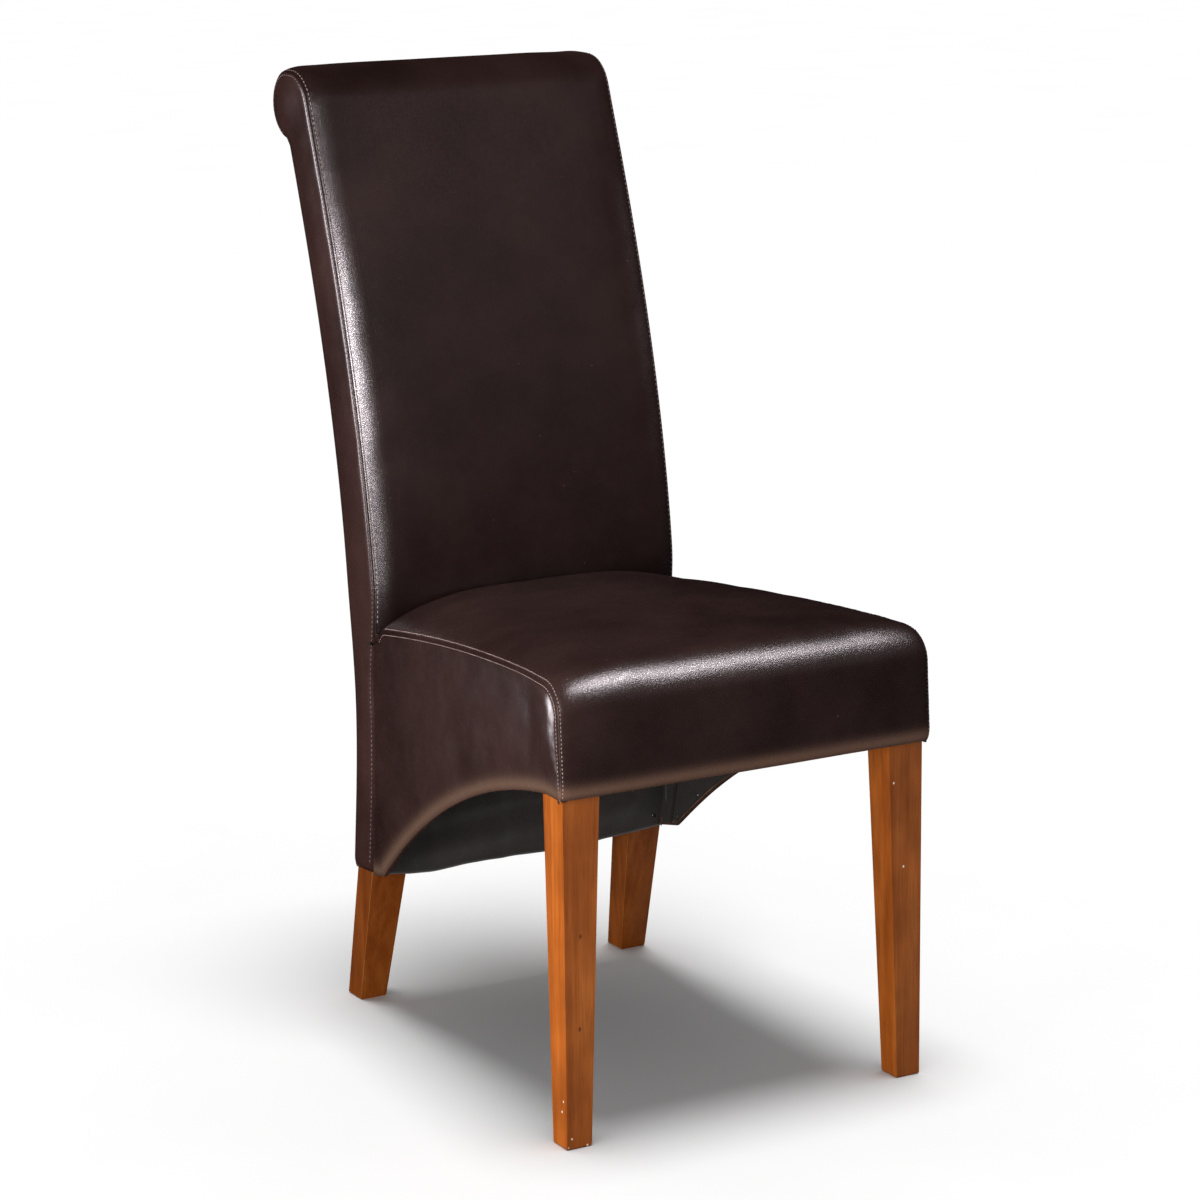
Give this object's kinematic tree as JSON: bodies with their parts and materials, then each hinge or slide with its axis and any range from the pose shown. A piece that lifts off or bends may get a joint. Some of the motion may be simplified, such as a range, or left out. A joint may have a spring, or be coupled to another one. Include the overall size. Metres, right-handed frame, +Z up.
{
  "type": "rollback dining chair",
  "caption": "Upholstered dining chair with a high scrolled back, a crowned seat and arched side skirts, on tapered wooden legs.",
  "frame": {"origin": "on the floor under the middle of the chair's length and width", "axes": "the chair faces -Y, +X is to the right as seen from the front, +Z is up"},
  "size_m": [0.4544, 0.7148, 1.07],
  "materials": {
    "leather": "dark brown bonded leather, semi-gloss, fine pebble grain",
    "side_leather": "dark reddish-brown bonded leather, semi-gloss",
    "stained_wood": "honey-cherry stain under satin lacquer",
    "frame_wood": "planed, unfinished",
    "thin_board": "smooth thin board",
    "foam": "open-cell foam",
    "lining_cloth": "matt non-woven cloth",
    "webbing": "woven elastic webbing",
    "fastener_steel": "zinc plated"
  },
  "bodies": {
    "root": {"front_leg_left": "stained_wood", "front_leg_right": "stained_wood", "rear_leg_left": "stained_wood", "rear_leg_right": "stained_wood", "front_rail": "frame_wood", "rear_rail": "frame_wood", "side_rail_left": "frame_wood", "side_rail_right": "frame_wood", "corner_block_front_left": "frame_wood", "corner_block_front_right": "frame_wood", "corner_block_rear_left": "frame_wood", "corner_block_rear_right": "frame_wood", "corner_screws": "fastener_steel", "leg_bolts": "fastener_steel", "leg_washers": "fastener_steel", "leg_nuts": "fastener_steel", "back_lower_rail": "frame_wood", "back_middle_rail": "frame_wood", "back_top_rail": "frame_wood", "skirt_rail": "frame_wood", "roll_rail": "frame_wood", "skirt_panel_left": "thin_board", "skirt_panel_right": "thin_board", "side_lining_left": "lining_cloth", "side_lining_right": "lining_cloth", "rear_lining": "lining_cloth", "dust_cover": "lining_cloth", "back_board": "thin_board", "seat_webbing": "webbing", "back_webbing": "webbing", "front_padding": "foam", "seat_foam": "foam", "back_foam": "foam", "roll_foam": "foam", "seat_cover": "leather", "seat_side_cover_left": "side_leather", "seat_side_cover_right": "side_leather", "back_cover_front": "leather", "back_cover_rear": "leather", "back_gusset_left": "side_leather", "back_gusset_right": "side_leather"}
  },
  "joints": []
}
